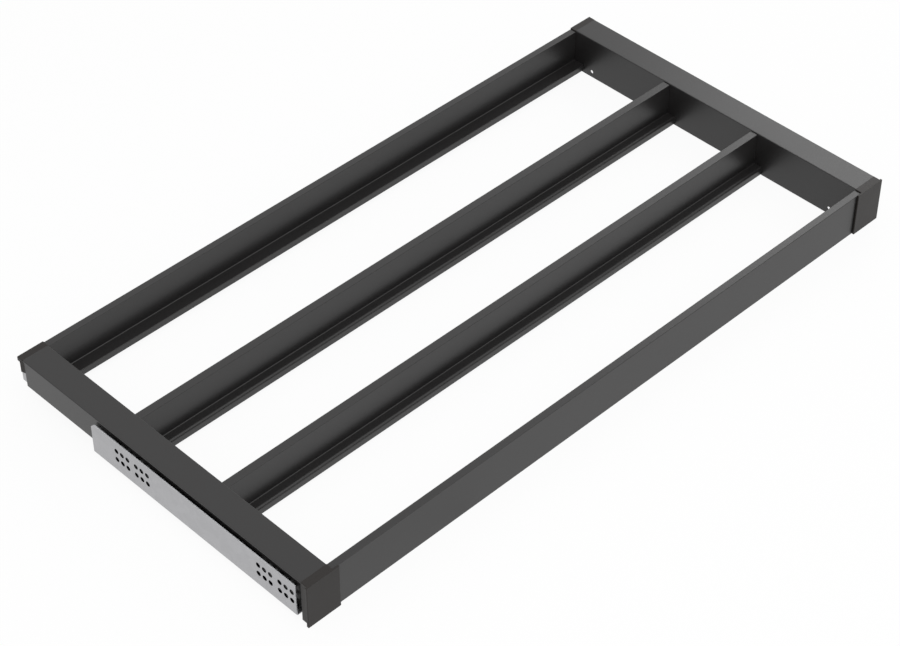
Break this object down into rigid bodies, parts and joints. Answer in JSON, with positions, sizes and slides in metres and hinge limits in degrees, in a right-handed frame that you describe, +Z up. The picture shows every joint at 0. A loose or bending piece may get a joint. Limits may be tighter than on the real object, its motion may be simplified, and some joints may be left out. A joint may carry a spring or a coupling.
{
  "type": "pull-out tray frame",
  "caption": "Wide pull-out frame with open ledged bays between slim bars, on hidden full-extension roller slides screwed to a cabinet.",
  "frame": {"origin": "middle of the frame in width and depth, level with the bottom of its front caps", "axes": "+X to the right seen from the front, +Y from the front to the back, +Z up"},
  "size_m": [0.909, 0.466, 0.058],
  "materials": {
    "anodised_aluminium": "dark anthracite, satin powder coat",
    "cap_moulding": "moulded, fine satin",
    "galvanised_steel": "zinc plated, dull",
    "screw_steel": "zinc plated",
    "bearing_steel": "ground and polished",
    "bright_steel": "drawn",
    "cage_plastic": "moulded acetal",
    "housing_plastic": "moulded",
    "sled_plastic": "moulded acetal"
  },
  "bodies": {
    "cabinet_rails": {"left_cabinet_rail": "galvanised_steel", "left_damper_housing": "housing_plastic", "left_damper_cylinder": "bright_steel", "left_damper_rod": "bright_steel", "left_damper_spring": "bright_steel", "left_damper_sled": "sled_plastic", "right_cabinet_rail": "galvanised_steel", "right_damper_housing": "housing_plastic", "right_damper_cylinder": "bright_steel", "right_damper_rod": "bright_steel", "right_damper_spring": "bright_steel", "right_damper_sled": "sled_plastic"},
    "tray_frame": {"left_side_profile": "anodised_aluminium", "right_side_profile": "anodised_aluminium", "front_bar": "anodised_aluminium", "rear_bar": "anodised_aluminium", "front_divider": "anodised_aluminium", "rear_divider": "anodised_aluminium", "front_left_cap": "cap_moulding", "front_right_cap": "cap_moulding", "rear_left_cap": "cap_moulding", "rear_right_cap": "cap_moulding", "left_divider_screws": "screw_steel", "right_divider_screws": "screw_steel", "corner_screws": "screw_steel", "left_mounting_channel": "galvanised_steel", "left_channel_screws": "screw_steel", "left_runner": "galvanised_steel", "right_mounting_channel": "galvanised_steel", "right_channel_screws": "screw_steel", "right_runner": "galvanised_steel"},
    "left_middle": {"left_middle_rail": "galvanised_steel"},
    "left_lower_cage_set": {"left_lower_cage": "cage_plastic", "left_lower_rollers": "bearing_steel", "left_lower_balls": "bearing_steel"},
    "left_upper_cage_set": {"left_upper_cage": "cage_plastic", "left_upper_rollers": "bearing_steel", "left_upper_balls": "bearing_steel"},
    "right_middle": {"right_middle_rail": "galvanised_steel"},
    "right_lower_cage_set": {"right_lower_cage": "cage_plastic", "right_lower_rollers": "bearing_steel", "right_lower_balls": "bearing_steel"},
    "right_upper_cage_set": {"right_upper_cage": "cage_plastic", "right_upper_rollers": "bearing_steel", "right_upper_balls": "bearing_steel"}
  },
  "joints": [
    {"name": "pull_out", "type": "slide", "parent": "cabinet_rails", "child": "tray_frame", "axis": [0, -1, 0], "range_m": [0, 0.3]},
    {"name": "left_middle_slide", "type": "slide", "parent": "cabinet_rails", "child": "left_middle", "axis": [0, -1, 0], "range_m": [0, 0.15]},
    {"name": "left_lower_cage_slide", "type": "slide", "parent": "cabinet_rails", "child": "left_lower_cage_set", "axis": [0, -1, 0], "range_m": [0, 0.075]},
    {"name": "left_upper_cage_slide", "type": "slide", "parent": "cabinet_rails", "child": "left_upper_cage_set", "axis": [0, -1, 0], "range_m": [0, 0.225]},
    {"name": "right_middle_slide", "type": "slide", "parent": "cabinet_rails", "child": "right_middle", "axis": [0, -1, 0], "range_m": [0, 0.15]},
    {"name": "right_lower_cage_slide", "type": "slide", "parent": "cabinet_rails", "child": "right_lower_cage_set", "axis": [0, -1, 0], "range_m": [0, 0.075]},
    {"name": "right_upper_cage_slide", "type": "slide", "parent": "cabinet_rails", "child": "right_upper_cage_set", "axis": [0, -1, 0], "range_m": [0, 0.225]}
  ],
  "couplings": [
    {"joint": "left_middle_slide", "follows": "pull_out", "ratio": 0.5},
    {"joint": "left_lower_cage_slide", "follows": "pull_out", "ratio": 0.25},
    {"joint": "left_upper_cage_slide", "follows": "pull_out", "ratio": 0.75},
    {"joint": "right_middle_slide", "follows": "pull_out", "ratio": 0.5},
    {"joint": "right_lower_cage_slide", "follows": "pull_out", "ratio": 0.25},
    {"joint": "right_upper_cage_slide", "follows": "pull_out", "ratio": 0.75}
  ]
}
